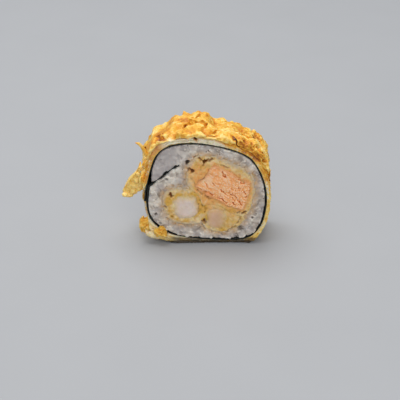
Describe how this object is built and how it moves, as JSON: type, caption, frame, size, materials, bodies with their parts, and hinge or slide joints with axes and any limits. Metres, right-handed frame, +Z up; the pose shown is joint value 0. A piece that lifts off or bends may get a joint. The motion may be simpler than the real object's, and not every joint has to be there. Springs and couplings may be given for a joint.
{
  "type": "spider roll",
  "caption": "Cut slice of a deep-fried sushi roll: crisp lumpy batter crust, seaweed ring with an inner tail, rice, battered crab legs and a block of cooked salmon.",
  "frame": {"origin": "on the flattened underside of the crust, below the middle of the seaweed ring and half way along the slice", "axes": "+Z up, the roll's axis along Y with the pictured cut face towards -Y, +X to the right of that face"},
  "size_m": [0.0567, 0.0219, 0.0482],
  "materials": {
    "fried_crust": "crisp golden batter with flakes",
    "nori": "damp black-green seaweed sheet",
    "rice": "moist translucent sushi rice",
    "salmon": "flaky cooked salmon",
    "inner_batter": "soft oily batter",
    "crab": "moist white crab meat"
  },
  "bodies": {
    "root": {"crust": "fried_crust", "nori": "nori", "rice": "rice", "salmon": "salmon", "salmon_batter": "inner_batter", "crab_batter": "inner_batter", "crab_leg_left": "crab", "crab_leg_right": "crab", "flake_left": "fried_crust", "clump_bottom_left": "fried_crust", "crumb_front": "fried_crust"}
  },
  "joints": []
}
